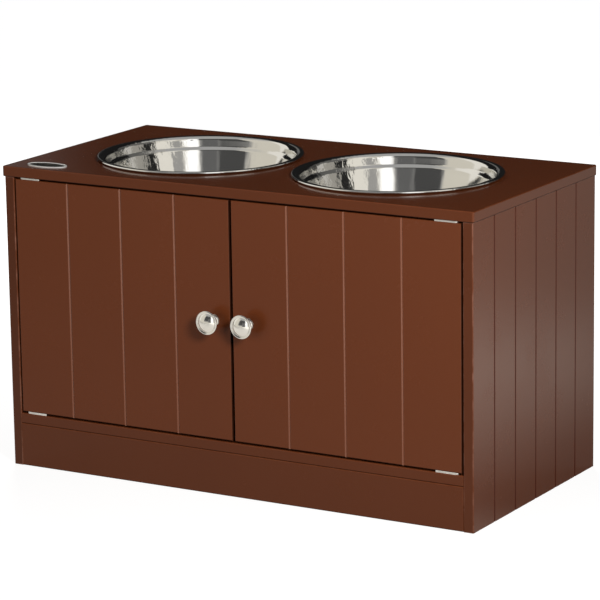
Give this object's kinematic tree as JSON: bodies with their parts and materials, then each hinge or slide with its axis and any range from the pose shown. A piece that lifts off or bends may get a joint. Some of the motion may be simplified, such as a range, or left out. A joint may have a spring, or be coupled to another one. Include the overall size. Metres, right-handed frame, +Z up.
{
  "type": "elevated dog feeder with storage",
  "caption": "Low lacquered cabinet whose top board holds lift-out steel feeding bowls above a storage compartment closed by inset V-grooved doors on pivot hinges.",
  "frame": {"origin": "on the floor, in the middle of the whole footprint, knobs included", "axes": "+X to the right as seen from the front, +Y to the back, +Z up; the doors face -Y"},
  "size_m": [0.6, 0.32, 0.3535],
  "materials": {
    "brown_lacquered_board": "satin lacquer on MDF board, evenly sprayed",
    "brown_back_board": "matt lacquer on thin hardboard",
    "stainless_steel": "mirror-polished inside, spun and polished",
    "chromed_metal": "bright chrome plate",
    "zinc_plated_steel": "bright zinc plate",
    "cast_zinc": "as cast, dull",
    "beech_dowel": "raw turned beech",
    "catch_plastic": "moulded, lightly grained",
    "ferrite_magnet": "dull sintered ferrite",
    "badge_metal": "satin metal border round a dark field"
  },
  "bodies": {
    "cabinet": {"top_panel": "brown_lacquered_board", "left_side_panel": "brown_lacquered_board", "right_side_panel": "brown_lacquered_board", "bottom_panel": "brown_lacquered_board", "kick_board": "brown_lacquered_board", "back_panel": "brown_back_board", "hinge_rivets": "zinc_plated_steel", "cabinet_leaf_screws": "zinc_plated_steel", "back_panel_screws": "zinc_plated_steel", "catch_housing": "catch_plastic", "catch_magnets": "ferrite_magnet", "catch_pole_plates": "zinc_plated_steel", "catch_screws": "zinc_plated_steel", "badge_plate": "badge_metal", "cam_locks": "cast_zinc", "cam_bolts": "zinc_plated_steel", "dowels": "beech_dowel", "upper_left_cabinet_leaf": "zinc_plated_steel", "upper_right_cabinet_leaf": "zinc_plated_steel", "lower_left_cabinet_leaf": "zinc_plated_steel", "lower_right_cabinet_leaf": "zinc_plated_steel"},
    "left_door": {"left_door": "brown_lacquered_board", "left_knob": "chromed_metal", "left_knob_screw": "zinc_plated_steel", "upper_left_door_leaf": "zinc_plated_steel", "lower_left_door_leaf": "zinc_plated_steel", "left_door_leaf_screws": "zinc_plated_steel", "left_strike_plate": "zinc_plated_steel", "left_strike_screw": "zinc_plated_steel"},
    "right_door": {"right_door": "brown_lacquered_board", "right_knob": "chromed_metal", "right_knob_screw": "zinc_plated_steel", "upper_right_door_leaf": "zinc_plated_steel", "lower_right_door_leaf": "zinc_plated_steel", "right_door_leaf_screws": "zinc_plated_steel", "right_strike_plate": "zinc_plated_steel", "right_strike_screw": "zinc_plated_steel"},
    "left_bowl": {"left_bowl": "stainless_steel"},
    "right_bowl": {"right_bowl": "stainless_steel"}
  },
  "joints": [
    {"name": "left_door_hinge", "type": "hinge", "parent": "cabinet", "child": "left_door", "pos_m": [-0.275, -0.132, 0.2], "axis": [0, 0, -1], "range_deg": [0, 110]},
    {"name": "right_door_hinge", "type": "hinge", "parent": "cabinet", "child": "right_door", "pos_m": [0.275, -0.132, 0.2], "axis": [0, 0, 1], "range_deg": [0, 110]},
    {"name": "left_bowl_lift", "type": "slide", "parent": "cabinet", "child": "left_bowl", "axis": [0, 0, 1], "range_m": [0, 0.09]},
    {"name": "right_bowl_lift", "type": "slide", "parent": "cabinet", "child": "right_bowl", "axis": [0, 0, 1], "range_m": [0, 0.09]}
  ]
}
